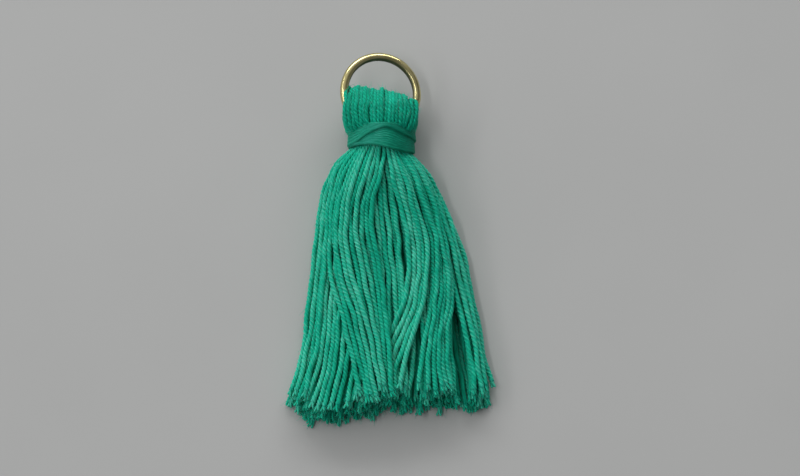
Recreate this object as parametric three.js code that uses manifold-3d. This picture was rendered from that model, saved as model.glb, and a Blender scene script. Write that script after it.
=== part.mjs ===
// A thread tassel on a jump ring, lying on its back. Millimetres, +Z up, +Y towards the ring.
// Modelled from the lower edge of the neck binding: s is the distance down the skirt, so y = -s.
import * as THREE from 'three';
import { mergeVertices } from 'three/addons/utils/BufferGeometryUtils.js';
import Module from 'manifold-3d';

const wasm = await Module();
wasm.setup();

const GAP = 0.3; // between any two pieces
const MID_HEIGHT = 3.0; // of the neck and the ring above the table

// Jump ring
const RING_OUTER = 8.0;
const RING_WIRE = 0.8;
const RING_X = -0.1;
const RING_Y = 5.92;
const RING_LEAN = THREE.MathUtils.degToRad(13.7); // right side down
const RING_STEPS = 56;
const WIRE_STEPS = 10;
const TUNNEL_FACETS = 0.03; // makes up for the flats of its facets

// Neck, and the binding wound on it
const NECK_HALF_WIDTH = 2.34;
const NECK_HALF_HEIGHT = 2.12;
const NECK_TOP = 3.4; // ends inside the head
const NECK_BELOW = 0.15; // keeps its width this far below the binding
const BINDING_TOP = 2.45;
const BINDING_WALL = 0.32;
const TURN_RELIEF = 0.1; // how far each turn stands proud of the groove beside it
const BAND_RELIEF = 0.14; // the crossing band lies on top of the other turns
const BAND_SIDE = 0.55; // upper edge of the band at the sides and behind
const BAND_PEAK = 2.0; // and in front
const BAND_PEAK_ANGLE = THREE.MathUtils.degToRad(81);
const BAND_SHARPNESS = 1.7;
const BAND_TURNS = 3;
const UPPER_TURNS = 4;
const ROUND_STEPS = 48;

// Head: loops of thread side by side along X, each folded over the wire
const HEAD_LEFT = -3.65;
const HEAD_RIGHT = 3.45;
const HEAD_LOW = BINDING_TOP + GAP;
const HEAD_HIGH = 6.0;
const HEAD_SLANT = -0.17; // the top falls to the right
const HEAD_HALF_HEIGHT = 2.95;
const HEAD_UNDERSIDE = 3.25; // reaches below the table and is flattened on it
const HEAD_END_HALF_HEIGHT = 1.6; // of the outermost loops
const HEAD_SHOULDER_HIGH = 0.45; // how far the outermost loops are drawn in at the top
const HEAD_SHOULDER_LOW = 0.9; // and at the bottom
const HEAD_FOLD = 0.75; // powers that shape a loop: rounded over the wire, squarer at the neck
const HEAD_FOOT = 0.35;
const HEAD_SIDE = 3.5; // powers that round the head off towards its two sides
const HEAD_CORNER = 2.2;
const HEAD_THREADS = 14;
const HEAD_GROOVE = 0.11;
const LOOP_STEPS = 20;

// Skirt. Each row is one section: where ten guide threads of the top layer lie across it, its height, a
// strand's width there, and how far the fused root of the strands still fills it.
const SKIRT = [
  { s: 0.45, edgeL: -2.75, innerL: -2.4, fanL: -2.15, fanM: -1.2, fanR: 0.35, sweepL: 0.65, sweepM: 1.5,
    sweepR: 2.15, innerR: 2.35, edgeR: 2.65, height: 5.35, strand: 0.26, root: 1.0 },
  { s: 0.9, edgeL: -3.9, innerL: -3.4, fanL: -3.1, fanM: -1.6, fanR: 0.25, sweepL: 0.85, sweepM: 2.05,
    sweepR: 2.95, innerR: 3.2, edgeR: 3.6, height: 5.6, strand: 0.3, root: 0.93 },
  { s: 1.8, edgeL: -4.7, innerL: -4.1, fanL: -3.75, fanM: -1.95, fanR: 0.15, sweepL: 1.1, sweepM: 2.5,
    sweepR: 3.7, innerR: 4.05, edgeR: 4.5, height: 5.7, strand: 0.36, root: 0.78 },
  { s: 3.2, edgeL: -5.3, innerL: -4.55, fanL: -4.3, fanM: -2.5, fanR: -0.05, sweepL: 1.5, sweepM: 3.15,
    sweepR: 4.5, innerR: 4.9, edgeR: 5.5, height: 5.5, strand: 0.42, root: 0.5 },
  { s: 5.5, edgeL: -5.9, innerL: -5.05, fanL: -4.75, fanM: -3.25, fanR: -0.85, sweepL: 2.0, sweepM: 3.9,
    sweepR: 5.35, innerR: 5.8, edgeR: 6.4, height: 5.0, strand: 0.46, root: 0.12 },
  { s: 8.4, edgeL: -6.3, innerL: -5.25, fanL: -5.0, fanM: -3.45, fanR: -1.25, sweepL: 2.45, sweepM: 4.65,
    sweepR: 6.2, innerR: 6.75, edgeR: 7.45, height: 4.6, strand: 0.5, root: 0 },
  { s: 11.7, edgeL: -6.55, innerL: -5.45, fanL: -4.75, fanM: -2.55, fanR: -0.55, sweepL: 2.55, sweepM: 5.05,
    sweepR: 6.65, innerR: 7.45, edgeR: 8.3, height: 4.3, strand: 0.5, root: 0 },
  { s: 15.0, edgeL: -6.95, innerL: -5.7, fanL: -4.0, fanM: -1.6, fanR: 0.2, sweepL: 2.0, sweepM: 5.05,
    sweepR: 6.95, innerR: 7.9, edgeR: 8.95, height: 4.1, strand: 0.5, root: 0 },
  { s: 18.4, edgeL: -7.45, innerL: -6.1, fanL: -3.25, fanM: -0.85, fanR: 0.65, sweepL: 1.25, sweepM: 4.65,
    sweepR: 6.85, innerR: 8.1, edgeR: 9.35, height: 3.9, strand: 0.5, root: 0 },
  { s: 21.3, edgeL: -8.0, innerL: -6.65, fanL: -2.5, fanM: -0.3, fanR: 0.7, sweepL: 1.25, sweepM: 4.3,
    sweepR: 7.15, innerR: 8.5, edgeR: 10.3, height: 3.7, strand: 0.5, root: 0 },
  { s: 25.4, edgeL: -9.5, innerL: -8.0, fanL: -1.6, fanM: 0.3, fanR: 1.0, sweepL: 1.6, sweepM: 4.0,
    sweepR: 8.6, innerR: 9.3, edgeR: 10.9, height: 3.5, strand: 0.5, root: 0 },
];
// Top layer: groups of strands spread evenly between guides
const TOP_GROUPS = [
  { guides: ['edgeL', 'innerL'], strands: 2 },
  { guides: ['fanL', 'fanM', 'fanR'], strands: 7 },
  { guides: ['sweepL', 'sweepM', 'sweepR'], strands: 7 },
  { guides: ['innerR', 'edgeR'], strands: 2 },
];
// Lower layers: level 0 lies on the table. shorter is how far a layer's cut ends stay behind level 0's.
const LAYERS = [
  { level: 0.75, reach: 0.8, strands: 20, shorter: 0.9 },
  { level: 0.5, reach: 0.66, strands: 17, shorter: 0.6 },
  { level: 0.25, reach: 0.8, strands: 20, shorter: 0.3 },
  { level: 0, reach: 0.93, strands: 21, shorter: 0 },
];
const TOP_SHORTER = 1.2;
// The cut ends of the floor layer, from left to right
const HEM = [
  { x: -9.5, s: 23.9 },
  { x: -7.0, s: 25.0 },
  { x: -5.5, s: 25.4 },
  { x: -3.2, s: 25.1 },
  { x: 1.0, s: 24.2 },
  { x: 7.6, s: 23.8 },
  { x: 8.7, s: 24.5 },
  { x: 10.9, s: 23.3 },
];
const HEM_UNEVEN = 0.3;
const STRAND_HEIGHT = 0.76; // of its width, apex up
const STRAND_SPACE = 0.06; // least space between neighbours
const SPREAD_PASSES = 40;
const PLACE_UNEVEN = 0.25; // of the strands' spacing, in the lower layers
const SIDE_HEIGHT = 1.25; // of the skirt at its two side edges
const DOME_SIDE = 2.6; // powers of the skirt's rounded section
const DOME_TOP = 1.6;
const LEVEL_FROM = 3.2; // the skirt lies flat on the table from here down
const ROOT_INSET = 0.85; // draws the first section of each strand into the root
const TABLE = 0;

const THREAD = { color: 0x1b876e, roughness: 0.9, metalness: 0 };
const BINDING_THREAD = { color: 0x166e55, roughness: 0.85, metalness: 0 };
const GOLD = { color: 0xc9b35a, roughness: 0.25, metalness: 1 };

const mix = THREE.MathUtils.lerp;

// A repeatable value between -1 and 1
function vary(seed) {
  const wave = Math.sin(seed * 12.9898) * 43758.5453;
  return 2 * (wave - Math.floor(wave)) - 1;
}

// Value of column at x in a table sorted by its key
function along(table, key, x, column) {
  let i = 1;
  while (i < table.length - 1 && table[i][key] < x) i++;
  const share = (x - table[i - 1][key]) / (table[i][key] - table[i - 1][key]);
  return mix(table[i - 1][column], table[i][column], THREE.MathUtils.clamp(share, 0, 1));
}

// A solid from rows of points. Both row and column directions may close on themselves.
function solid(rows, rowsClose) {
  const count = rows[0].length;
  const points = rows.flat().flatMap((p) => [p.x, p.y, p.z]);
  const triangles = [];
  const last = rowsClose ? rows.length : rows.length - 1;
  for (let i = 0; i < last; i++) {
    const here = i * count;
    const next = ((i + 1) % rows.length) * count;
    for (let j = 0; j < count; j++) {
      const k = (j + 1) % count;
      triangles.push(here + j, here + k, next + k, here + j, next + k, next + j);
    }
  }
  if (!rowsClose) {
    const end = (rows.length - 1) * count;
    for (let j = 1; j < count - 1; j++) {
      triangles.push(0, j + 1, j, end, end + j, end + j + 1);
    }
  }
  const mesh = new wasm.Mesh({
    numProp: 3,
    vertProperties: new Float32Array(points),
    triVerts: new Uint32Array(triangles),
  });
  return new wasm.Manifold(mesh);
}

function solidFromGeometry(geometry, matrix) {
  const plain = geometry.clone().applyMatrix4(matrix);
  plain.deleteAttribute('normal');
  plain.deleteAttribute('uv');
  const merged = mergeVertices(plain, 1e-4);
  const mesh = new wasm.Mesh({
    numProp: 3,
    vertProperties: new Float32Array(merged.attributes.position.array),
    triVerts: new Uint32Array(merged.index.array),
  });
  return new wasm.Manifold(mesh);
}

function meshOf(manifold, name, look) {
  const { vertProperties, triVerts } = manifold.getMesh();
  const geometry = new THREE.BufferGeometry();
  geometry.setAttribute('position', new THREE.BufferAttribute(vertProperties, 3));
  geometry.setIndex(new THREE.BufferAttribute(triVerts, 1));
  const faceted = geometry.toNonIndexed();
  faceted.computeVertexNormals();
  return named(new THREE.Mesh(faceted, new THREE.MeshStandardMaterial(look)), name);
}

function named(mesh, name) {
  mesh.name = name;
  return mesh;
}

function ringPlace() {
  const turn = new THREE.Matrix4().makeRotationY(RING_LEAN);
  return turn.setPosition(RING_X, RING_Y, MID_HEIGHT);
}

function ring() {
  const middle = (RING_OUTER - RING_WIRE) / 2;
  const geometry = new THREE.TorusGeometry(middle, RING_WIRE / 2, WIRE_STEPS, RING_STEPS);
  const mesh = named(new THREE.Mesh(geometry, new THREE.MeshStandardMaterial(GOLD)), 'ring');
  mesh.applyMatrix4(ringPlace());
  return mesh;
}

// The way that the wire takes through the head
function ringTunnel() {
  const middle = (RING_OUTER - RING_WIRE) / 2;
  const tube = RING_WIRE / 2 + GAP + TUNNEL_FACETS;
  const geometry = new THREE.TorusGeometry(middle, tube, WIRE_STEPS + 2, RING_STEPS);
  return solidFromGeometry(geometry, ringPlace());
}

// One loop of the head, seen from the side
function headLoop(x, groove) {
  const middle = (HEAD_LEFT + HEAD_RIGHT) / 2;
  const out = Math.abs(x - middle) / (HEAD_RIGHT - middle);
  const round = (1 - Math.min(out, 1) ** HEAD_SIDE) ** (1 / HEAD_CORNER);
  const low = HEAD_LOW + HEAD_SHOULDER_LOW * (1 - round) + groove / 2;
  const high = HEAD_HIGH + HEAD_SLANT * x - HEAD_SHOULDER_HIGH * (1 - round) - groove;
  const up = mix(HEAD_END_HALF_HEIGHT, HEAD_HALF_HEIGHT, round) - groove;
  const down = mix(HEAD_END_HALF_HEIGHT, HEAD_UNDERSIDE, round) - groove;
  const loop = [];
  for (let j = 0; j < LOOP_STEPS; j++) {
    const angle = (2 * Math.PI * j) / LOOP_STEPS;
    const power = Math.cos(angle) > 0 ? HEAD_FOLD : HEAD_FOOT;
    const lift = Math.sign(Math.cos(angle)) * Math.abs(Math.cos(angle)) ** power;
    const bulge = Math.sign(Math.sin(angle)) * Math.abs(Math.sin(angle)) ** power;
    const y = (high + low) / 2 + (lift * (high - low)) / 2;
    const z = MID_HEIGHT + bulge * (bulge > 0 ? up : down);
    loop.push(new THREE.Vector3(x, y, Math.max(z, TABLE)));
  }
  return loop;
}

function head() {
  const stations = 2 * HEAD_THREADS;
  const loops = [];
  for (let i = 0; i <= stations; i++) {
    loops.push(headLoop(mix(HEAD_LEFT, HEAD_RIGHT, i / stations), i % 2 ? 0 : HEAD_GROOVE));
  }
  return solid(loops, false);
}

// Height of a layer in the skirt's section. across runs from -1 at the left edge to 1 at the right one.
function layerHeight(section, across, level, thick) {
  const side = Math.min(Math.abs(across), 1);
  const flat = THREE.MathUtils.smoothstep(section.s, 0, LEVEL_FROM);
  const neck = NECK_HALF_HEIGHT * Math.sqrt(1 - side ** 2);
  const dome = SIDE_HEIGHT + (section.height - SIDE_HEIGHT) * (1 - side ** DOME_SIDE) ** (1 / DOME_TOP);
  const top = mix(MID_HEIGHT + neck, dome, flat);
  const bottom = mix(MID_HEIGHT - neck, TABLE, flat);
  return bottom + level * (top - bottom - thick);
}

function acrossFrom(section, x) {
  const middle = (section.edgeL + section.edgeR) / 2;
  return (x - middle) / (section.edgeR - middle);
}

// The neck, and the fused root that the strands grow out of
function neckAndRoot() {
  const rows = [];
  for (const y of [NECK_TOP, -NECK_BELOW]) {
    rows.push(ellipse(y, 0, MID_HEIGHT, NECK_HALF_WIDTH, NECK_HALF_HEIGHT));
  }
  for (const section of SKIRT) {
    if (section.root === 0) break;
    const low = layerHeight(section, 0, 0, 0);
    const high = layerHeight(section, 0, 1, 0);
    const middle = (section.edgeL + section.edgeR) / 2;
    const halfWidth = (section.root * (section.edgeR - section.edgeL)) / 2;
    const halfHeight = (section.root * (high - low)) / 2;
    rows.push(ellipse(-section.s, middle, (low + high) / 2, halfWidth, halfHeight));
  }
  return solid(rows, false);
}

function ellipse(y, x, z, halfWidth, halfHeight) {
  const points = [];
  for (let j = 0; j < ROUND_STEPS; j++) {
    const angle = (2 * Math.PI * j) / ROUND_STEPS;
    points.push(new THREE.Vector3(x + halfWidth * Math.cos(angle), y, z + halfHeight * Math.sin(angle)));
  }
  return points;
}

// Pushes neighbours apart until none is closer than the pitch
function keepApart(places, pitch) {
  const spread = places.slice();
  for (let pass = 0; pass < SPREAD_PASSES; pass++) {
    for (let i = 1; i < spread.length; i++) {
      const lack = (pitch - spread[i] + spread[i - 1]) / 2;
      if (lack > 0) {
        spread[i - 1] -= lack;
        spread[i] += lack;
      }
    }
  }
  return spread;
}

function topPlaces(section) {
  const places = [];
  for (const { guides, strands } of TOP_GROUPS) {
    for (let i = 0; i < strands; i++) {
      const at = (i / (strands - 1)) * (guides.length - 1);
      const left = Math.min(Math.floor(at), guides.length - 2);
      places.push(mix(section[guides[left]], section[guides[left + 1]], at - left));
    }
  }
  return keepApart(places, section.strand + STRAND_SPACE);
}

function lowerPlaces(section, layer) {
  const places = [];
  for (let i = 0; i < layer.strands; i++) {
    const across = layer.reach * ((2 * i) / (layer.strands - 1) - 1);
    const uneven = (PLACE_UNEVEN * vary(7 * i + 31 * layer.level)) / layer.strands;
    places.push(mix(section.edgeL, section.edgeR, (1 + across + uneven) / 2));
  }
  return keepApart(places, section.strand + STRAND_SPACE);
}

function triangle(x, y, z, width, thick) {
  return [
    new THREE.Vector3(x - width / 2, y, z),
    new THREE.Vector3(x + width / 2, y, z),
    new THREE.Vector3(x, y, z + thick),
  ];
}

// One strand: a flat base and an apex, section by section down to its cut end
function strand(placesBySection, index, level, shorter) {
  const last = SKIRT.length - 1;
  const tip = placesBySection[last][index];
  const end = along(HEM, 'x', tip, 's') - shorter + HEM_UNEVEN * vary(index + 50 * level);
  const rows = SKIRT.map((section, i) => {
    const inset = i === 0 ? ROOT_INSET : 1;
    const thick = section.strand * STRAND_HEIGHT;
    const x = placesBySection[i][index];
    const base = layerHeight(section, acrossFrom(section, x), level, thick);
    return triangle(inset * x, -section.s, mix(MID_HEIGHT, base, inset), section.strand, thick);
  });
  const share = (end - SKIRT[last - 1].s) / (SKIRT[last].s - SKIRT[last - 1].s);
  rows[last] = rows[last].map((point, j) => rows[last - 1][j].clone().lerp(point, share));
  return solid(rows, false);
}

function layerStrands(placesBySection, level, shorter) {
  return placesBySection[0].map((_, index) => strand(placesBySection, index, level, shorter));
}

function skirt() {
  const strands = layerStrands(SKIRT.map(topPlaces), 1, TOP_SHORTER);
  for (const layer of LAYERS) {
    const places = SKIRT.map((section) => lowerPlaces(section, layer));
    strands.push(...layerStrands(places, layer.level, layer.shorter));
  }
  return strands;
}

function tassel() {
  const whole = [head(), neckAndRoot(), ...skirt()].reduce((sum, piece) => sum.add(piece));
  return meshOf(whole.subtract(ringTunnel()), 'tassel', THREAD);
}

// The sleeve of turns round the neck. Rows run up its outside and back down its inside.
function binding() {
  const rows = [];
  const turns = BAND_TURNS + UPPER_TURNS;
  for (let i = 0; i <= 2 * turns; i++) {
    rows.push(bindingRow(i / 2, i % 2 ? TURN_RELIEF : 0));
  }
  rows.push(innerRow(BINDING_TOP));
  rows.push(innerRow(0));
  return meshOf(solid(rows.reverse(), true), 'neck_binding', BINDING_THREAD);
}

function bindingRow(turn, relief) {
  const inBand = turn < BAND_TURNS;
  const wall = GAP + BINDING_WALL + relief + (inBand ? BAND_RELIEF : 0);
  const row = ellipse(0, 0, MID_HEIGHT, NECK_HALF_WIDTH + wall, NECK_HALF_HEIGHT + wall);
  row.forEach((point, j) => {
    const angle = (2 * Math.PI * j) / ROUND_STEPS;
    const rise = Math.max(0, Math.cos(angle - BAND_PEAK_ANGLE)) ** BAND_SHARPNESS;
    const bandTop = mix(BAND_SIDE, BAND_PEAK, rise);
    const upper = (turn - BAND_TURNS) / UPPER_TURNS;
    point.y = inBand ? (bandTop * turn) / BAND_TURNS : mix(bandTop, BINDING_TOP, upper);
  });
  return row;
}

function innerRow(y) {
  return ellipse(y, 0, MID_HEIGHT, NECK_HALF_WIDTH + GAP, NECK_HALF_HEIGHT + GAP);
}

// Stands the tassel on the middle of its own footprint
function placed(pieces) {
  const group = new THREE.Group();
  group.add(...pieces);
  group.updateMatrixWorld(true);
  const box = new THREE.Box3().setFromObject(group, true);
  const middle = box.getCenter(new THREE.Vector3());
  group.position.set(-middle.x, -middle.y, -box.min.z);
  return group;
}

export default placed([tassel(), binding(), ring()]);
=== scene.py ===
"""A sea-green thread tassel on a jump ring.

Every thread is laid out, pushed clear of its neighbours and twisted. Sizes are millimetres in the tassel's
own layout: x to the right, y towards the ring, z up from the table, with y = 0 at the lower edge of the
neck binding, and s = -y the distance down the skirt. place() turns them into the frame.
"""
import math

import bpy
import numpy as np
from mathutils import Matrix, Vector


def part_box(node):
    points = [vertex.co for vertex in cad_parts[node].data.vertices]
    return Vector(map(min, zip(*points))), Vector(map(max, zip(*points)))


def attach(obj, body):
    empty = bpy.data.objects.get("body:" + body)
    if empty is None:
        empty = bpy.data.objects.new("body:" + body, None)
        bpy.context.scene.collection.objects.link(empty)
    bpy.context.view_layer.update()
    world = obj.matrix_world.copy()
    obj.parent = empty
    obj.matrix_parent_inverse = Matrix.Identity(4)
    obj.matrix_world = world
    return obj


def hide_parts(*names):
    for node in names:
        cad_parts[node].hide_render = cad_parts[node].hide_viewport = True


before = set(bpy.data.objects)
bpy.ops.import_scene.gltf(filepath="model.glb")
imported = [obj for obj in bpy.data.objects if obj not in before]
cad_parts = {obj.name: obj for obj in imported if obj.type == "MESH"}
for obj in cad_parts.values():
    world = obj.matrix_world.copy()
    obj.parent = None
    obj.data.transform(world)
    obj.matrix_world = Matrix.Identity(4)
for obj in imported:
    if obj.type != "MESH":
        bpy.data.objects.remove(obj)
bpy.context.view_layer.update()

MM = 0.001
SEED = 20
X_AXIS, Y_AXIS, Z_AXIS = np.eye(3)

# Where the layout's origin lies in the frame
BINDING_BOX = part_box("neck_binding")
ORIGIN = np.array([(BINDING_BOX[0].x + BINDING_BOX[1].x) / 2, BINDING_BOX[0].y, 0.0]) / MM
# Height of the neck's middle over the table
MID_HEIGHT = 3.0

# Jump ring
RING_RADIUS = 3.6
WIRE_RADIUS = 0.4
RING_CENTRE = np.array([-0.06, 6.02, MID_HEIGHT])
RING_LEAN = math.radians(13.7)
RING_SIDES = 28
RING_STEPS = 180
RING_JOINT_ANGLE = math.radians(-10)
RING_JOINT_GAP = 0.035
RING_JOINT_TAPER = 0.93
# Painted shade: the wire's inner side is made darker and less metallic, most at the top of the ring, so
# that it reflects dark there
RING_PAINTED_SHADE = 0.12
RING_PAINTED_SHADE_SHIFT = 0.15
# Depths inside the wire's middle line, in wire radii, at which the painted shade is full and gone
RING_PAINTED_SHADE_FULL, RING_PAINTED_SHADE_GONE = 0.95, 0.45

# Thread
THREAD_RADIUS = 0.215
NECK_THREAD_RADIUS = 0.155
# Over this stretch of s a thread swells from its radius in the neck to its own
NECK_SWELL = (-0.2, 3.4)
PLIES = 3
PLY_RELIEF = 0.14
PLY_PITCH = 1.25
PLY_PITCH_SPREAD = (0.85, 1.2)
FINE_STEP = 0.14
COARSE_STEP = 0.4
FINE_SIDES = 12
COARSE_SIDES = 6
# Scale of the streaks along a thread
STREAK_SCALE = 0.16
# Threads sway round their line, drift off it and are unevenly thick
SWAY = 0.03
SWAY_PITCH = (2.5, 4.5)
DRIFT = 0.045
UNEVEN = 0.04
# Least height of a thread over the table in its radii, before and after it swells
LEAST_HEIGHT = 1.3
LEAST_SWOLLEN_HEIGHT = 1.25

# Skirt: where eleven guide threads of the top layer lie across each section, and the section's height
GUIDES = [
    "edge_l", "inner_l", "fan_l", "fan_m", "fan_r", "sweep_l",
    "sweep_r", "fall_l", "fall_r", "inner_r", "edge_r",
]
SKIRT = [
    # s, the guides in that order, height
    (-2.0, -2.3, -1.9, -1.7, -1.0, 0.3, 0.5, 1.0, 1.2, 1.7, 1.9, 2.3, 5.0),
    (-0.5, -2.45, -2.0, -1.8, -1.1, 0.3, 0.55, 1.05, 1.25, 1.8, 2.0, 2.35, 5.1),
    (-0.1, -3.5, -2.6, -2.2, -1.2, 0.3, 0.6, 1.15, 1.4, 1.95, 2.2, 2.6, 5.2),
    (0.5, -4.35, -3.5, -2.9, -1.4, 0.28, 0.7, 1.45, 1.8, 2.65, 2.95, 3.35, 5.4),
    (0.9, -4.7, -3.85, -3.3, -1.6, 0.22, 0.8, 1.75, 2.15, 3.1, 3.4, 3.9, 5.6),
    (1.8, -5.15, -4.3, -3.85, -1.95, 0.12, 0.95, 2.2, 2.6, 3.75, 4.15, 4.65, 5.7),
    (3.2, -5.55, -4.7, -4.3, -2.5, -0.1, 1.15, 2.8, 3.2, 4.5, 4.9, 5.4, 5.5),
    (5.5, -5.95, -5.05, -4.75, -3.25, -0.95, 2.0, 3.5, 4.0, 5.35, 5.8, 6.45, 5.0),
    (8.4, -6.35, -5.25, -5.0, -3.3, -0.8, 2.75, 4.2, 4.8, 6.2, 6.75, 7.5, 4.6),
    (11.7, -6.65, -5.45, -4.75, -2.55, 0.0, 2.85, 4.5, 5.1, 6.65, 7.45, 8.5, 4.3),
    (15.0, -7.05, -5.7, -4.0, -1.6, 0.35, 2.15, 4.25, 4.75, 6.9, 8.1, 9.05, 4.1),
    (18.4, -7.45, -6.0, -3.1, -0.8, 0.65, 0.5, 3.05, 3.95, 6.7, 8.4, 9.4, 3.9),
    (21.3, -8.15, -6.65, -2.2, -0.2, 0.85, -0.4, 2.15, 3.5, 6.85, 8.95, 10.4, 3.7),
    (23.0, -8.85, -7.2, -1.8, 0.1, 1.05, -0.8, 2.0, 3.55, 7.4, 9.3, 10.7, 3.6),
    (26.0, -10.1, -8.2, -1.2, 0.5, 1.35, -1.2, 1.8, 3.6, 8.6, 9.8, 11.0, 3.5),
]
TOP_GROUPS = [
    # guides, threads, how deep the group passes under its left neighbour
    (("edge_l", "inner_l"), 3, 0.0),
    (("fan_l", "fan_m", "fan_r"), 10, 0.0),
    (("sweep_l", "sweep_r"), 5, 0.6),
    (("fall_l", "fall_r"), 6, 0.0),
    (("inner_r", "edge_r"), 3, 0.0),
]
# Where a group passes under another: not at all at the first x and s, fully at the second
UNDER_X = (1.7, 0.5)
UNDER_S = (12, 15)
# Lower layers, from the table up
LAYERS = [
    # threads, reach across the section, how far the cut ends stay behind those of the lowest layer
    (30, 0.96, 0.0),
    (30, 0.92, 0.15),
    (29, 0.84, 0.35),
    (28, 0.8, 0.6),
    (28, 0.84, 0.8),
    (28, 0.93, 1.0),
]
TOP_SHORTER = 1.3
HEM = [
    # x, s of the cut ends
    (-9.5, 24.0),
    (-7.0, 25.1),
    (-5.5, 25.6),
    (-3.2, 25.4),
    (1.0, 24.5),
    (7.6, 24.0),
    (8.7, 24.5),
    (10.9, 23.4),
]
HEM_UNEVEN = 0.3
PARTINGS = [
    # s from, s to, x at each, half width, lowest and highest layer that the parting opens
    (2.0, 6.5, 0.72, 0.75, 0.2, 4, 5),
    (14.6, 24.0, 7.2, 7.75, 0.75, 2, 6),
    (18.0, 24.0, 1.0, 1.4, 0.25, 5, 5),
    (16.0, 24.0, 4.1, 2.7, 0.3, 4, 6),
]
PARTING_REACH = 2.4
# A parting opens over the first length, and closes from the second before its end to as far behind it
PARTING_OPENS, PARTING_CLOSES = 2.5, 1
# The threads press into each other by this much
SQUEEZE = 1.09
# Painted shade: how much darker the tone of the inner layers is, for the shade deep in the skirt
INNER_PAINTED_SHADE = 0.7
# The section is domed above its sides, with these exponents across and up
SIDE_HEIGHT = 1.25
DOME_ACROSS, DOME_UP = 2.6, 0.625
# The section is round in the neck, and lies flat on the table from this s on
LEVEL_FROM = 3.2
# Just below the binding the threads flare over this stretch of s
FLARE = (0.15, 2.2)
FLARE_RISE = 0.5
NECK_SLACK = 0.03

# Sections at which the threads are laid out, and the one that decides where each is cut
STATIONS = np.arange(-1.6, 26.01, 0.5)
HEM_STATION = -4
# Threads beyond these at their station go to the edges
EDGE_STATION = 30
EDGE_LEFT, EDGE_RIGHT = -5.6, 7.2
# The top layer is split in two here
SPLIT_STATION = 10
SPLIT_X = 0.5
# How unevenly threads are spread at first
LAYOUT_JITTER = 0.35
# How far they drift and sink, and the stretch of s over which that sets in
LAYOUT_DRIFT, DRIFT_OVER = 0.1, (1, 6)
LAYOUT_SINK, SINK_OVER = 0.5, (1, 5)
# Rounds of settling, how many at the end neither pull back nor smooth, and the strength of each step
SETTLE_ROUNDS = 150
END_ROUNDS = 12
PUSH = 0.3
HOLD_TOP, HOLD = 0.12, 0.03
SMOOTHING, LAST_SMOOTHING = 0.22, 0.25

# Head
HEAD_LEFT, HEAD_RIGHT = -3.47, 3.3
HEAD_HALF_WIDTH = 3.45
HEAD_COLUMNS = 20
HEAD_LAYERS = 7
HEAD_HALF_HEIGHT = 2.74
HEAD_TOP = 6.2
HEAD_SLANT = -0.17
HEAD_ROUNDING = 0.3
HEAD_THREAD_RADIUS = 0.205
# Tones of the head's loops, set low as painted shade that darkens the whole head
HEAD_PAINTED_SHADE_TONE = (-0.9, -0.2)
# How unevenly the loops are spread, drift sideways, reach up and stand out from the middle
HEAD_JITTER, HEAD_DRIFT, HEAD_UNEVEN = 0.03, 0.05, 0.08
HEAD_STAND_OUT = (-0.07, 0.04)
# One side of a loop, from the binding to where its fold begins
HEAD_PROFILE = [
    # share of the loop's x, y, share of its half height
    (0.6, 0.9, 0.74),
    (0.72, 1.6, 0.74),
    (0.9, 2.3, 0.92),
    (0.96, 2.9, 0.99),
    (1.0, 3.7, 1.0),
]
# Inner loops fold lower down and nearer to the middle
FOLD_DROP = 3.1
FOLD_WIDTH, FOLD_NARROWING = 0.89, 0.28
# Room between the wire and the loops, over it and beside it
ROOM_OVER_WIRE = 0.22
ROOM_BESIDE_WIRE = 0.15

# Binding
NECK_HALF_HEIGHT = 2.28
UPPER_EDGE = 2.42
WINDING_HALF_WIDTH, WINDING_HALF_HEIGHT = 3.0, 2.6
WINDING_START, WINDING_STEP = 3.5, 0.055
WINDING_LOW = 0.3
WINDING_RISE = UPPER_EDGE - 0.5
WINDING_SLANT = 0.25
WINDING_TURNS = 7
BINDING_THREAD_RADIUS = 0.2
BINDING_FLAT = 0.8
BAND_TURNS = 8
BAND = [
    # angle round the neck in degrees, lower edge, upper edge
    (-25, 0.1, 1.1),
    (0, 0.0, 1.1),
    (31, -0.19, 1.24),
    (42, -0.28, 1.3),
    (55, -0.25, 1.48),
    (66, -0.17, 1.75),
    (81, 0.04, 2.05),
    (95, 0.19, 1.75),
    (109, 0.33, 1.47),
    (121, 0.35, 1.15),
    (131, 0.38, 0.75),
    (151, 0.41, 0.55),
    (200, 0.45, 0.6),
]
UPPER_TURNS = 6
# How far the first turn stands out, how much less the last one does, and how much less their two ends do
BAND_LIFT = (0.13, 0.06, 0.3)
UPPER_LIFT = (0.22, 0.1, 0.35)

# Frayed ends and loose fibres
FRAY_LENGTH = 0.55
FRAY_LENGTH_SPREAD = (0.7, 1.35)
FRAY_TWIST = 1.3
# A ply's radius, its distance from the thread's middle, and how far its tip moves out, in thread radii
PLY_RADIUS, PLY_OFFSET = 0.55, 0.42
PLY_PARTS = (0.1, 0.75)
FIBRE_RADIUS = 0.019
FIBRE_LENGTH = (0.3, 1.0)
FIBRE_LEAN = (0.1, 0.55)
FIBRE_CURL = 0.12
FIBRES_PER_THREAD = 16
FIBRES_PER_END = 4
FIBRES_PER_LOOP = 45

# Colours of the two threads, darkest to lightest: the threads' own streaks and tones, with painted shade in
# the grooves between the plies and a painted highlight on their ridges
THREAD_COLOURS = ((0.0, 0.25, 0.15), (0.006, 0.46, 0.3), (0.16, 0.7, 0.53))
BINDING_COLOURS = ((0.0, 0.12, 0.07), (0.002, 0.23, 0.14), (0.03, 0.36, 0.25))

# Camera, in pixels of the image and millimetres
PIXELS_PER_MM = 10.5
IMAGE_WIDTH, IMAGE_HEIGHT = 800, 476
# The middle of the binding's lower edge, in the photograph and over the table
BINDING_EDGE_PIXEL = (381, 147)
BINDING_EDGE_HEIGHT = MID_HEIGHT + NECK_HALF_HEIGHT + 0.5
SENSOR_WIDTH = 36.0
CAMERA_ELEVATION = math.radians(78)
CAMERA_DISTANCE = 300.0

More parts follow.
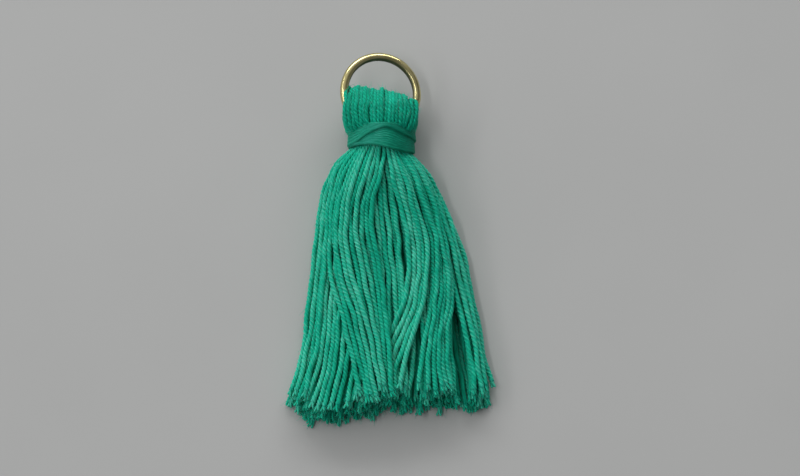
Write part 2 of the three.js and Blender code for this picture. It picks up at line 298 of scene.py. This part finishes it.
# Table and light, in metres and watts
TABLE_HALF_WIDTH = 0.6
WINDOW_DISTANCE = 0.62
WINDOWS = [
    # name, compass angle and elevation in degrees, width, height, power
    ("window_west", 172, 38, 0.7, 0.045, 0.55),
    ("window_high", 190, 66, 0.45, 0.045, 0.6),
    ("window_north", 90, 27, 0.85, 0.13, 2.45),
]
# The side from which the room is bright
WINDOW_SIDE = (-0.52, 0.79, 0.33)
ROOM_STRENGTH = 0.76


# Curves and tubes

def place(points):
    """Points of the layout in the frame."""
    return (np.asarray(points) + ORIGIN) * MM


def unit(v):
    return v / np.maximum(np.linalg.norm(v, axis=-1, keepdims=True), 1e-9)


def smoothstep(low, high, x):
    """Runs from 0 at low to 1 at high, whichever of the two is larger."""
    t = np.clip((x - low) / (high - low), 0, 1)
    return t * t * (3 - 2 * t)


def distances(path):
    """The way along a path to each of its points."""
    return np.concatenate([[0], np.cumsum(np.linalg.norm(np.diff(path, axis=0), axis=1))])


def catmull_rom(a, b, c, d, t):
    """A smooth curve through a, b, c and d, at the share t of the way from b to c."""
    square = 2 * a - 5 * b + 4 * c - d
    cube = 3 * b - a - 3 * c + d
    return 0.5 * (2 * b + (c - a) * t + square * t**2 + cube * t**3)


def curve(points, step):
    """A smooth curve through points, at about even steps."""
    p = np.asarray(points, float)
    p = np.vstack([2 * p[0] - p[1], p, 2 * p[-1] - p[-2]])
    t = np.linspace(0, 1, 16, endpoint=False)[:, None]
    rows = [catmull_rom(a, b, c, d, t) for a, b, c, d in zip(p, p[1:], p[2:], p[3:])]
    dense = np.vstack([*rows, p[-2]])
    at = distances(dense)
    even = np.linspace(0, at[-1], max(4, int(round(at[-1] / step)) + 1))
    return np.stack([np.interp(even, at, dense[:, k]) for k in range(3)], axis=1)


def between_stations(at, values, where):
    """Smooth values between even stations."""
    step = at[1] - at[0]
    f = np.clip((where - at[0]) / step, 0, len(at) - 1.001)
    i = f.astype(int)
    pad = np.concatenate([[2 * values[0] - values[1]], values, [2 * values[-1] - values[-2]]])
    return catmull_rom(pad[i], pad[i + 1], pad[i + 2], pad[i + 3], f - i)


def wander(rng, count, spacing, size):
    """Smooth noise along a thread, with a knot about every spacing points."""
    knots = rng.normal(0, size, max(3, int(count / spacing) + 3))
    x = np.linspace(0, len(knots) - 1, count)
    i = np.minimum(x.astype(int), len(knots) - 2)
    t = smoothstep(0, 1, x - i)
    return knots[i] * (1 - t) + knots[i + 1] * t


class Bundle:
    """Closed tubes gathered into one mesh, each with a tone and coordinates that follow its fibres."""

    def __init__(self):
        self.points, self.quads, self.triangles = [], [], []
        self.tones, self.crests, self.fibres = [], [], []
        self.count = 0

    def add(self, path, reference, radius, rng,
            sides=FINE_SIDES, relief=0.0, flat=1.0, tone=None, dome=0.4):
        """A tube along path. relief shows its plies, flat presses it and dome rounds its ends."""
        path = np.asarray(path, float)
        n = len(path)
        radius = np.broadcast_to(radius, (n,))
        tangent = unit(np.gradient(path, axis=0))
        side = unit(reference - tangent * (tangent @ reference)[:, None])
        up = np.cross(side, tangent)
        length = distances(path)
        own = 2 * math.pi * np.arange(sides) / sides
        phase = rng.uniform(0, 2 * math.pi)
        pitch = PLY_PITCH * rng.uniform(*PLY_PITCH_SPREAD)
        turns = length / pitch if relief else np.zeros(n)
        angle = own[None, :] + (phase + 2 * math.pi * turns)[:, None]
        size = radius[:, None] * (1 + relief * np.cos(PLIES * own))[None, :]
        rings = path[:, None] + side[:, None] * (size * np.cos(angle))[..., None]
        rings = rings + up[:, None] * (flat * size * np.sin(angle))[..., None]
        first_tip = path[0] - tangent[0] * radius[0] * dome
        last_tip = path[-1] + tangent[-1] * radius[-1] * dome
        self.points += [rings.reshape(-1, 3), first_tip, last_tip]
        shift = rng.uniform(-40, 40, 3)
        fibre = np.empty((n, sides, 3))
        fibre[..., 0] = THREAD_RADIUS * np.cos(own) + shift[0]
        fibre[..., 1] = THREAD_RADIUS * np.sin(own) + shift[1]
        fibre[..., 2] = length[:, None] * STREAK_SCALE + shift[2]
        self.fibres += [fibre.reshape(-1, 3), fibre[[0, -1], 0]]
        # Painted light: 1 on the ridges of the plies for a painted highlight, 0 between them for painted
        # shade in the grooves
        crest = np.broadcast_to(0.5 + 0.5 * np.cos(PLIES * own) * (relief > 0), (n, sides))
        self.crests += [crest.ravel(), np.full(2, 0.5)]
        tones = np.broadcast_to(rng.uniform(0, 1) if tone is None else tone, (n,))
        self.tones += [np.repeat(tones, sides), tones[[0, -1]]]
        self.add_faces(n, sides)

    def add_faces(self, n, sides):
        """Quads between the n rings of a new tube, and triangles up to its two tips."""
        i = np.arange(n - 1)[:, None] * sides
        j = np.arange(sides)[None, :]
        k = (j + 1) % sides
        quads = np.stack([i + j, i + k, i + sides + k, i + sides + j], axis=-1).reshape(-1, 4)
        self.quads.append(quads[:, ::-1] + self.count)
        tip, last = n * sides, (n - 1) * sides
        j, k = j[0], k[0]
        start = np.stack([j, np.full(sides, tip), k], axis=-1)
        end = np.stack([last + k, np.full(sides, tip + 1), last + j], axis=-1)
        self.triangles += [start[:, ::-1] + self.count, end[:, ::-1] + self.count]
        self.count += n * sides + 2

    def piece(self, name, look):
        """The mesh of all the tubes, as an object on the root body."""
        points = place(np.vstack(self.points))
        quads, triangles = np.vstack(self.quads), np.vstack(self.triangles)
        corners = np.concatenate([quads.ravel(), triangles.ravel()])
        starts = np.concatenate([np.arange(len(quads)) * 4, len(quads) * 4 + np.arange(len(triangles)) * 3])
        mesh = bpy.data.meshes.new(name)
        mesh.vertices.add(len(points))
        mesh.vertices.foreach_set("co", points.ravel())
        mesh.loops.add(len(corners))
        mesh.loops.foreach_set("vertex_index", corners)
        mesh.polygons.add(len(starts))
        mesh.polygons.foreach_set("loop_start", starts)
        mesh.update(calc_edges=True)
        mesh.polygons.foreach_set("use_smooth", np.ones(len(starts), bool))
        attributes = [
            # name, type, field, values
            ("tone", "FLOAT", "value", np.concatenate(self.tones)),
            ("crest", "FLOAT", "value", np.concatenate(self.crests)),
            ("fibre", "FLOAT_VECTOR", "vector", np.vstack(self.fibres).ravel()),
        ]
        for label, kind, field, values in attributes:
            mesh.attributes.new(label, kind, "POINT").data.foreach_set(field, values)
        mesh.validate()
        mesh.materials.append(look)
        ob = add_object(name, mesh)
        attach(ob, "root")
        return ob


def add_object(name, data):
    ob = bpy.data.objects.new(name, data)
    bpy.context.scene.collection.objects.link(ob)
    return ob


# Materials

def material(name):
    made = bpy.data.materials.new(name)
    made.use_nodes = True
    tree = made.node_tree
    return made, tree, tree.nodes["Principled BSDF"]


def node(tree, kind, **settings):
    """A node with settings that are inputs or else properties of it."""
    made = tree.nodes.new(kind)
    for key, value in settings.items():
        if key in made.inputs:
            made.inputs[key].default_value = value
        else:
            setattr(made, key, value)
    return made


def attribute(tree, name):
    return node(tree, "ShaderNodeAttribute", attribute_name=name)


def noise(tree, vector, **settings):
    made = node(tree, "ShaderNodeTexNoise", **settings)
    tree.links.new(vector, made.inputs["Vector"])
    return made.outputs["Fac"]


def map_range(tree, value, from_min=0.0, from_max=1.0, to_min=0.0, to_max=1.0):
    made = node(tree, "ShaderNodeMapRange")
    limits = {"From Min": from_min, "From Max": from_max, "To Min": to_min, "To Max": to_max}
    for name, limit in limits.items():
        made.inputs[name].default_value = limit
    tree.links.new(value, made.inputs["Value"])
    return made.outputs["Result"]


def colour_ramp(tree, value, *stops):
    """A colour that runs through stops, each a position and its colour."""
    made = node(tree, "ShaderNodeValToRGB")
    elements = made.color_ramp.elements
    elements.remove(elements[1])
    elements[0].position = stops[0][0]
    elements[0].color = (*stops[0][1], 1)
    for position, colour in stops[1:]:
        elements.new(position).color = (*colour, 1)
    tree.links.new(value, made.inputs["Fac"])
    return made.outputs["Color"]


def bump(tree, height, strength, distance):
    made = node(tree, "ShaderNodeBump", Strength=strength, Distance=distance)
    tree.links.new(height, made.inputs["Height"])
    return made.outputs["Normal"]


def thread_material(name, dark, middle, light):
    """Streaks along the fibres, a painted highlight on the plies' ridges with painted shade between them, a
    tone for each thread and blotches across them.
    """
    made, tree, shader = material(name)
    link = tree.links.new
    here = node(tree, "ShaderNodeTexCoord").outputs["Object"]
    streaks = noise(tree, attribute(tree, "fibre").outputs["Vector"], Scale=9.0, Detail=4.0, Roughness=0.6)
    shares = [
        (attribute(tree, "tone").outputs["Fac"], 0.2),
        (noise(tree, here, Scale=260.0, Detail=2.0), 0.34),
        # Painted highlight on the ridges of the plies and painted shade in their grooves
        (attribute(tree, "crest").outputs["Fac"], 0.14),
    ]
    total = streaks
    for source, weight in shares:
        added = node(tree, "ShaderNodeMath", operation="MULTIPLY_ADD")
        link(source, added.inputs[0])
        added.inputs[1].default_value = weight
        link(total, added.inputs[2])
        total = added.outputs[0]
    spread = map_range(tree, total, from_min=0.47, from_max=1.21)
    link(colour_ramp(tree, spread, (0.0, dark), (0.5, middle), (1.0, light)), shader.inputs["Base Color"])
    link(map_range(tree, streaks, to_min=0.9, to_max=0.62), shader.inputs["Roughness"])
    link(bump(tree, streaks, 0.55, 0.00005), shader.inputs["Normal"])
    constants = {
        "Subsurface Weight": 0.3,
        "Subsurface Radius": (0.3, 1.0, 0.75),
        "Subsurface Scale": 0.0004,
        "Specular IOR Level": 0.08,
        "Sheen Weight": 0.1,
        "Sheen Roughness": 0.45,
        "Sheen Tint": (0.45, 0.9, 0.75, 1),
    }
    for socket, value in constants.items():
        shader.inputs[socket].default_value = value
    return made


def metal_material():
    """Gold plate with faint wear and scratches, and painted shade on the inner side of the ring that
    darkens its reflection there.
    """
    made, tree, shader = material("gold_plate")
    link = tree.links.new
    here = node(tree, "ShaderNodeTexCoord").outputs["Object"]
    wear = noise(tree, here, Scale=900.0, Detail=3.0)
    unshaded_gold = colour_ramp(tree, wear, (0.3, (0.55, 0.48, 0.22)), (0.7, (0.74, 0.66, 0.34)))
    # Painted shade: near the wire's inner side the base colour and metallic are scaled down, so the ring
    # reflects dark there
    away = node(tree, "ShaderNodeVectorMath", operation="DISTANCE")
    link(here, away.inputs[0])
    away.inputs[1].default_value = place(RING_CENTRE + RING_PAINTED_SHADE_SHIFT * Y_AXIS)
    full = (RING_RADIUS - RING_PAINTED_SHADE_FULL * WIRE_RADIUS) * MM
    gone = (RING_RADIUS - RING_PAINTED_SHADE_GONE * WIRE_RADIUS) * MM
    bright = map_range(tree, away.outputs["Value"], full, gone, to_min=RING_PAINTED_SHADE)
    shaded_gold = node(tree, "ShaderNodeVectorMath", operation="SCALE")
    link(unshaded_gold, shaded_gold.inputs[0])
    link(bright, shaded_gold.inputs["Scale"])
    link(shaded_gold.outputs["Vector"], shader.inputs["Base Color"])
    link(bright, shader.inputs["Metallic"])
    link(map_range(tree, wear, 0.3, 0.75, 0.1, 0.18), shader.inputs["Roughness"])
    scratches = noise(tree, here, Scale=6000.0, Detail=2.0)
    link(bump(tree, scratches, 0.12, 0.00001), shader.inputs["Normal"])
    return made


def floor_material():
    made, tree, shader = material("table_grey")
    here = node(tree, "ShaderNodeTexCoord").outputs["Object"]
    grain = noise(tree, here, Scale=40.0, Detail=3.0)
    colour = colour_ramp(tree, grain, (0.0, (0.45, 0.453, 0.45)), (1.0, (0.49, 0.493, 0.49)))
    tree.links.new(colour, shader.inputs["Base Color"])
    shader.inputs["Roughness"].default_value = 0.8
    return made


# Skirt

def thread_radius(s):
    return NECK_THREAD_RADIUS + (THREAD_RADIUS - NECK_THREAD_RADIUS) * smoothstep(*NECK_SWELL, s)


def skirt_columns(s):
    """Places of the guides across the section, and its height, at each s."""
    table = np.array(SKIRT)
    names = [*GUIDES, "height"]
    return {name: np.interp(s, table[:, 0], table[:, k]) for k, name in enumerate(names, 1)}


def layer_height(s, across, level, height, thick):
    """Height of a layer's underside, with across from -1 at the left edge to 1 at the right."""
    side = np.clip(np.abs(across), 0, 1)
    flat = smoothstep(0, LEVEL_FROM, s)
    neck = NECK_HALF_HEIGHT * np.sqrt(1 - side**2)
    dome = SIDE_HEIGHT + (height - SIDE_HEIGHT) * (1 - side**DOME_ACROSS) ** DOME_UP
    top = (1 - flat) * (MID_HEIGHT + neck) + flat * dome
    bottom = (1 - flat) * (MID_HEIGHT - neck)
    return bottom + level * (top - bottom - thick)


def skirt_layout():
    """Where every thread should be at each station: x, z, its layer and where it ends."""
    rng = np.random.default_rng(SEED)
    s = STATIONS
    columns = skirt_columns(s)
    left, right = columns["edge_l"], columns["edge_r"]
    radius = thread_radius(s)
    top = len(LAYERS)
    xs, layers = [], []
    for layer, (count, reach, _) in enumerate(LAYERS):
        for i in range(count):
            across = reach * (2 * (i + LAYOUT_JITTER * rng.uniform(-1, 1)) / (count - 1) - 1)
            xs.append(left + (right - left) * (1 + across) / 2)
            layers.append(layer)
    drop = [0.0] * len(xs)
    for names, count, depth in TOP_GROUPS:
        for i in range(count):
            at = i / (count - 1) * (len(names) - 1)
            k = min(int(at), len(names) - 2)
            xs.append(columns[names[k]] * (1 - at + k) + columns[names[k + 1]] * (at - k))
            layers.append(top)
            drop.append(depth)
    x = np.array(xs)
    layers = np.array(layers)
    for i in range(len(x)):
        x[i] += wander(rng, len(s), 9, LAYOUT_DRIFT) * smoothstep(*DRIFT_OVER, s)
    across = (x - (left + right) / 2) / ((right - left) / 2)
    z = layer_height(s, across, layers[:, None] / top, columns["height"], 2 * radius) + radius
    z -= LAYOUT_SINK * rng.uniform(0, 1, len(x))[:, None] ** 2 * smoothstep(*SINK_OVER, s)
    z -= np.array(drop)[:, None] * smoothstep(*UNDER_X, x) * smoothstep(*UNDER_S, s)
    shorter = np.array([row[2] for row in LAYERS] + [TOP_SHORTER])[layers]
    hem = np.array(HEM)
    ends = np.interp(x[:, HEM_STATION], hem[:, 0], hem[:, 1]) - shorter
    ends += HEM_UNEVEN * rng.normal(0, 1, len(x))
    return s, x, z, layers, np.minimum(ends, s[-1] - 0.1)


def part(s, x, layers, home, reach=None):
    """Keeps threads out of the partings, each on its own side. With a reach, those beside make room."""
    for s_from, s_to, x_from, x_to, half, lowest, highest in PARTINGS:
        share = np.clip((s - s_from) / (s_to - s_from), 0, 1)
        middle = x_from + (x_to - x_from) * share
        closed = smoothstep(s_to - PARTING_CLOSES, s_to + PARTING_CLOSES, s)
        opened = smoothstep(s_from, s_from + PARTING_OPENS, s) * (1 - closed)
        at = np.argmin(np.abs(s - (s_from + s_to) / 2))
        side = np.where(home[:, at] > middle[at], 1.0, -1.0)[:, None]
        away = side * (x - middle)
        if reach:
            lack = half * opened * np.clip(1 - away / reach, 0, 1)
        else:
            lack = np.clip(half * opened - away, 0, 2 * half) * opened
        x = x + side * lack * ((layers >= lowest) & (layers <= highest))[:, None]
    return x


def inside_neck(s, x, z, radius):
    """Keeps threads inside the binding, and inside the flare just below it."""
    columns = skirt_columns(s)
    wide = np.where(x < 0, -columns["edge_l"], columns["edge_r"]) + NECK_SLACK
    tall = (NECK_HALF_HEIGHT - radius) * (1 + FLARE_RISE * smoothstep(*FLARE, s))
    out = np.sqrt((x / wide) ** 2 + ((z - MID_HEIGHT) / tall) ** 2)
    back = np.where((s < FLARE[1]) & (out > 1), 1 / np.maximum(out, 1e-6), 1)
    return x * back, MID_HEIGHT + (z - MID_HEIGHT) * back


def smooth(rows, share):
    """Evens out each row in place, apart from its ends."""
    rows[:, 1:-1] += share * (rows[:, :-2] + rows[:, 2:] - 2 * rows[:, 1:-1])


def settle(s, x, z, layers):
    """Pushes threads apart in every section until they only touch, while they keep to their places."""
    x = part(s, x, layers, x, PARTING_REACH)
    home_x, home_z = x.copy(), z.copy()
    radius = thread_radius(s)
    hold_x = np.where(layers == layers.max(), HOLD_TOP, HOLD)[:, None]
    itself = np.eye(len(x), dtype=bool)[:, :, None]
    for k in range(SETTLE_ROUNDS):
        dx = x[:, None] - x[None]
        dz = z[:, None] - z[None]
        dist = np.sqrt(dx * dx + dz * dz) + 1e-6
        lack = np.where(itself, 0, np.clip(2 * radius - dist, 0, None)) / dist
        x = x + PUSH * (lack * dx).sum(1)
        z = z + PUSH * (lack * dz).sum(1)
        if k < SETTLE_ROUNDS - END_ROUNDS:
            x += hold_x * (home_x - x)
            z += HOLD * (home_z - z)
            smooth(x, SMOOTHING)
            smooth(z, SMOOTHING)
        x = part(s, x, layers, home_x)
        x, z = inside_neck(s, x, z, radius)
        z = np.maximum(z, radius * LEAST_HEIGHT)
    smooth(x, LAST_SMOOTHING)
    smooth(z, LAST_SMOOTHING)
    return x, z


def skirt(look):
    """The pieces of the skirt, and a bundle with the loose fibres of its threads."""
    s, x, z, layers, ends = skirt_layout()
    x, z = settle(s, x, z, layers)
    rng = np.random.default_rng(SEED + 1)
    top = layers.max()
    names = [
        "skirt_top_left", "skirt_top_right", "skirt_upper",
        "skirt_edges", "skirt_inner", "skirt_under",
    ]
    bundles = {name: Bundle() for name in names}
    fuzz = Bundle()
    for i, layer in enumerate(layers):
        edge = x[i, EDGE_STATION] < EDGE_LEFT or x[i, EDGE_STATION] > EDGE_RIGHT
        fine = edge or layer >= top - 1 or layer == 0
        if layer == top:
            home = "skirt_top_left" if x[i, SPLIT_STATION] < SPLIT_X else "skirt_top_right"
        elif layer == top - 1:
            home = "skirt_upper"
        elif edge:
            home = "skirt_edges"
        else:
            home = "skirt_under" if layer < 2 else "skirt_inner"
        step = FINE_STEP if fine else COARSE_STEP
        where = np.arange(s[0], ends[i] - FRAY_LENGTH / 2, step)
        across, height = between_stations(s, x[i], where), between_stations(s, z[i], where)
        path = np.stack([across, -where, height], axis=1)
        turn = 2 * math.pi * (rng.uniform() + where / rng.uniform(*SWAY_PITCH))
        path[:, 0] += SWAY * np.cos(turn) + wander(rng, len(where), 16, DRIFT)
        path[:, 2] += SWAY * np.sin(turn) + wander(rng, len(where), 16, DRIFT)
        swell = SQUEEZE + wander(rng, len(where), 14, UNEVEN)
        radius = thread_radius(where) * swell
        path[:, 2] = np.maximum(path[:, 2], radius * LEAST_SWOLLEN_HEIGHT)
        # Painted shade: the inner threads get a darker tone
        tone = rng.uniform(0, 1) - (0 if fine else INNER_PAINTED_SHADE)
        sides, relief = (FINE_SIDES, PLY_RELIEF) if fine else (COARSE_SIDES, 0.0)
        bundles[home].add(path, X_AXIS, radius, rng, sides, relief, tone=tone)
        fray(bundles[home], path, radius[-1], tone, rng)
        if fine:
            for at in rng.integers(8, len(path) - 2, FIBRES_PER_THREAD):
                loose_fibre(fuzz, path[at], unit(path[at + 1] - path[at]), radius[at], rng)
        for _ in range(FIBRES_PER_END):
            loose_fibre(fuzz, path[-1], unit(path[-1] - path[-4]), radius[-1], rng)
    return [bundle.piece(name, look) for name, bundle in bundles.items()], fuzz


def fray(bundle, path, radius, tone, rng):
    """The plies of a cut end part from each other."""
    tangent = unit(path[-1] - path[-4])
    side = unit(np.cross(tangent, Z_AXIS))
    up = np.cross(side, tangent)
    start = rng.uniform(0, 2 * math.pi)
    along = np.linspace(-0.35, 1, 8)
    for k in range(PLIES):
        angle = start + 2 * math.pi * k / PLIES + FRAY_TWIST * along
        length = FRAY_LENGTH * rng.uniform(*FRAY_LENGTH_SPREAD)
        out = radius * (PLY_OFFSET + rng.uniform(*PLY_PARTS) * np.clip(along, 0, 1) ** 1.5)
        ply = path[-1] + tangent * (along * length)[:, None]
        ply = ply + side * (out * np.cos(angle))[:, None] + up * (out * np.sin(angle))[:, None]
        size = radius * PLY_RADIUS * (1 - 0.25 * np.clip(along, 0, 1))
        ply[:, 2] = np.maximum(ply[:, 2], size)
        bundle.add(ply, X_AXIS + 0.01, size, rng, sides=6, tone=min(1, tone + 0.2), dome=0.6)


def loose_fibre(bundle, root, tangent, radius, rng):
    """One fine fibre that stands off a thread."""
    out = unit(rng.normal(size=3) * np.array([1, 1, 0.7]) + Z_AXIS * 0.3)
    out = unit(out - tangent * (out @ tangent))
    length = rng.uniform(*FIBRE_LENGTH)
    along = np.linspace(0, 1, 5)[:, None]
    path = root + out * radius * 0.8 + tangent * length * along
    path = path + out * length * rng.uniform(*FIBRE_LEAN) * along**1.5
    path = path + rng.normal(0, FIBRE_CURL, 3) * length * along**2
    path[:, 2] = np.maximum(path[:, 2], FIBRE_RADIUS)
    size = FIBRE_RADIUS * (1.1 - 0.6 * along[:, 0])
    bundle.add(path, unit(np.cross(tangent, out)), size, rng, sides=3, tone=0.9, dome=0.5)


# Head

def wire_at(x):
    """The y and z of the ring's lower arc at x."""
    c = np.clip((x - RING_CENTRE[0]) / (RING_RADIUS * math.cos(RING_LEAN)), -0.99, 0.99)
    y = RING_CENTRE[1] - RING_RADIUS * math.sqrt(1 - c * c)
    return y, RING_CENTRE[2] - RING_RADIUS * c * math.sin(RING_LEAN)


def head_path(x, layer, step):
    """One loop of the head: up in front, over the wire and down behind."""
    share = (layer + 0.5) / HEAD_LAYERS
    half = HEAD_HALF_HEIGHT * (1 - share) + (WIRE_RADIUS + ROOM_BESIDE_WIRE) * share
    fold_x = x * (FOLD_WIDTH - FOLD_NARROWING * share)
    wire_y, wire_z = wire_at(fold_x)
    round_off = (abs(x) / HEAD_HALF_WIDTH) ** 4
    top = HEAD_TOP + HEAD_SLANT * x - HEAD_ROUNDING * round_off - FOLD_DROP * share
    top = max(top, wire_y + WIRE_RADIUS + ROOM_OVER_WIRE)
    half = half * (1 - HEAD_ROUNDING * round_off)
    side = [(x * wide, y, half * tall) for wide, y, tall in HEAD_PROFILE]
    side.append((x * 0.98, min(4.6, top - 0.6), half * 0.93))
    side.append(((x + fold_x) / 2, top - 0.17, half * 0.5))
    front = [(a, b, MID_HEIGHT + c) for a, b, c in side]
    behind = [(a, b, MID_HEIGHT - c) for a, b, c in side]
    return curve([*front, (fold_x, top, wire_z * 0.3 + MID_HEIGHT * 0.7), *behind[::-1]], step)


def head(look, fuzz):
    rng = np.random.default_rng(SEED + 2)
    bundle = Bundle()
    pitch = (HEAD_RIGHT - HEAD_LEFT) / (HEAD_COLUMNS - 1)
    for layer in range(HEAD_LAYERS):
        staggered = layer % 2
        columns = HEAD_COLUMNS - staggered
        for i in range(columns):
            x = HEAD_LEFT + pitch * (i + 0.5 * staggered) + rng.normal(0, HEAD_JITTER)
            fine = layer < 2 or i in (0, columns - 1)
            path = head_path(x, layer, FINE_STEP if fine else COARSE_STEP)
            path[:, 0] += wander(rng, len(path), 12 if fine else 5, HEAD_DRIFT)
            path[:, 1] += HEAD_UNEVEN * rng.normal()
            path[:, 2] += rng.uniform(*HEAD_STAND_OUT) * np.sign(path[:, 2] - MID_HEIGHT)
            path[:, 2] = np.maximum(path[:, 2], HEAD_THREAD_RADIUS * LEAST_HEIGHT)
            radius = HEAD_THREAD_RADIUS * (1 + wander(rng, len(path), 14, UNEVEN))
            sides, relief = (FINE_SIDES, PLY_RELIEF) if fine else (COARSE_SIDES, 0.0)
            # Painted shade: the head's loops get the lowered tones
            bundle.add(path, X_AXIS, radius, rng, sides, relief, tone=rng.uniform(*HEAD_PAINTED_SHADE_TONE))
            if layer == 0:
                for at in rng.integers(15, len(path) - 15, FIBRES_PER_LOOP):
                    loose_fibre(fuzz, path[at], unit(path[at + 1] - path[at]), radius[at], rng)
    return bundle.piece("head_loops", look)


# Binding

def round_neck(angle, y, lift):
    """Points on the neck. Angle 0 is the right side and a quarter turn is the top."""
    x = (WINDING_HALF_WIDTH + lift) * np.cos(angle)
    z = MID_HEIGHT + (WINDING_HALF_HEIGHT + lift) * np.sin(angle)
    return np.stack([x, y, z], axis=1)


def even_out(values):
    return np.convolve(np.pad(values, 3, mode="edge"), np.ones(7) / 7, mode="valid")


def binding(look):
    """A winding round the neck, a band that crosses it and single turns above the band."""
    rng = np.random.default_rng(SEED + 3)
    bundle = Bundle()

    def wind(angle, y, lift, tone):
        turn = round_neck(angle, y, lift)
        bundle.add(turn, Y_AXIS, BINDING_THREAD_RADIUS, rng, flat=BINDING_FLAT, tone=tone)

    angle = WINDING_START + np.arange(0, WINDING_TURNS * 2 * math.pi, WINDING_STEP)
    share = (angle - angle[0]) / (angle[-1] - angle[0])
    y = WINDING_LOW + WINDING_RISE * share - WINDING_SLANT * np.cos(angle) * (1 - share)
    y += wander(rng, len(angle), 40, 0.015)
    wind(angle, y, 0.0, 0.45)

    band = np.array(BAND)
    degrees = np.linspace(band[0, 0], band[-1, 0], 90)
    angle = np.radians(degrees)
    ends = smoothstep(5, -25, degrees) + smoothstep(160, 200, degrees)
    low = even_out(np.interp(degrees, band[:, 0], band[:, 1]))
    high = even_out(np.interp(degrees, band[:, 0], band[:, 2]))
    half = BINDING_THREAD_RADIUS * BINDING_FLAT
    # Painted light and shade: the binding's tone is higher on its left side and lower on its right
    painted_side_light = 1.2 - 1.5 * smoothstep(-0.15, 0.5, np.cos(angle))
    rows = [
        # turns, y of the first and of the last, how they stand out
        (BAND_TURNS, low + half, np.maximum(high - half, low + half + 0.04), BAND_LIFT),
        (UPPER_TURNS, high + half, np.maximum(UPPER_EDGE - half, high + half), UPPER_LIFT),
    ]
    for turns, first, last, (lift, less, less_at_ends) in rows:
        for share in np.linspace(0, 1, turns):
            y = first * (1 - share) + last * share
            wind(angle, y, lift - less * share - less_at_ends * ends, painted_side_light + rng.uniform(-0.1, 0.1))
    return bundle.piece("neck_binding_thread", look)


# Ring

def ring(look):
    """One turn of wire with a fine gap at its joint."""
    half_gap = RING_JOINT_GAP / RING_RADIUS / 2
    start = RING_JOINT_ANGLE + half_gap
    end = RING_JOINT_ANGLE + 2 * math.pi - half_gap
    angle = np.linspace(start, end, RING_STEPS + 1)
    flat = np.stack([np.cos(angle), np.sin(angle), np.zeros_like(angle)], axis=1) * RING_RADIUS
    lean = np.array([math.cos(RING_LEAN), 0, -math.sin(RING_LEAN)])
    path = RING_CENTRE + flat[:, :1] * lean + flat[:, 1:2] * Y_AXIS
    radius = np.full(len(path), WIRE_RADIUS)
    radius[[0, -1]] *= RING_JOINT_TAPER
    bundle = Bundle()
    rng = np.random.default_rng(SEED + 4)
    bundle.add(path, np.cross(lean, Y_AXIS), radius, rng, sides=RING_SIDES, dome=0.02)
    return bundle.piece("jump_ring", look)


# Stage, camera and light

def stage():
    half = TABLE_HALF_WIDTH
    corners = [(-half, -half, 0), (half, -half, 0), (half, half, 0), (-half, half, 0)]
    mesh = bpy.data.meshes.new("table")
    mesh.from_pydata(corners, [], [(0, 1, 2, 3)])
    mesh.materials.append(floor_material())
    table = add_object("table", mesh)


def camera():
    """The photograph's view, with the binding's lower edge at its place in the image."""
    data = bpy.data.cameras.new("camera")
    data.sensor_width = SENSOR_WIDTH
    data.lens = SENSOR_WIDTH * CAMERA_DISTANCE / (IMAGE_WIDTH / PIXELS_PER_MM)
    data.clip_start, data.clip_end = 0.01, 5
    back = np.array([0, -math.cos(CAMERA_ELEVATION), math.sin(CAMERA_ELEVATION)])
    up = np.array([0, math.sin(CAMERA_ELEVATION), math.cos(CAMERA_ELEVATION)])
    right = (IMAGE_WIDTH / 2 - BINDING_EDGE_PIXEL[0]) / PIXELS_PER_MM
    down = (IMAGE_HEIGHT / 2 - BINDING_EDGE_PIXEL[1]) / PIXELS_PER_MM
    target = Z_AXIS * BINDING_EDGE_HEIGHT + X_AXIS * right - up * down
    ob = add_object("camera", data)
    ob.location = place(target + back * CAMERA_DISTANCE)
    ob.rotation_euler = (math.pi / 2 - CAMERA_ELEVATION, 0, 0)
    bpy.context.scene.camera = ob


def window(name, location, width, height, power):
    """An area light that faces the tassel."""
    data = bpy.data.lights.new(name, "AREA")
    data.shape = "RECTANGLE"
    data.size, data.size_y = width, height
    data.energy = power
    ob = add_object(name, data)
    ob.location = location
    ob.rotation_euler = Vector(location).to_track_quat("Z", "Y").to_euler()


def room():
    """A dim room that brightens towards the window side, low over the ring end."""
    world = bpy.data.worlds.new("room")
    world.use_nodes = True
    tree = world.node_tree
    direction = node(tree, "ShaderNodeTexCoord")
    towards = node(tree, "ShaderNodeVectorMath", operation="DOT_PRODUCT")
    towards.inputs[1].default_value = WINDOW_SIDE
    tree.links.new(direction.outputs["Generated"], towards.inputs[0])
    colour = colour_ramp(tree, towards.outputs["Value"], (0.1, (0.2, 0.205, 0.21)), (0.9, (1, 1, 0.98)))
    background = tree.nodes["Background"]
    tree.links.new(colour, background.inputs["Color"])
    background.inputs["Strength"].default_value = ROOM_STRENGTH
    bpy.context.scene.world = world


def lights():
    for name, compass, elevation, width, height, power in WINDOWS:
        turn, rise = math.radians(compass), math.radians(elevation)
        level = WINDOW_DISTANCE * math.cos(rise)
        location = (level * math.cos(turn), level * math.sin(turn), WINDOW_DISTANCE * math.sin(rise))
        window(name, location, width, height, power)
    room()
    bpy.context.scene.view_settings.view_transform = "Standard"


def main():
    thread = thread_material("sea_green_thread", *THREAD_COLOURS)
    wound = thread_material("binding_thread", *BINDING_COLOURS)
    metal = metal_material()
    skirt_pieces, fuzz = skirt(thread)
    loops = head(thread, fuzz)
    for piece in [*skirt_pieces, loops, fuzz.piece("loose_fibres", thread)]:
        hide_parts("tassel")
    wrapped = binding(wound)
    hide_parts("neck_binding")
    jump_ring = ring(metal)
    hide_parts("ring")
    stage()
    camera()
    lights()


main()
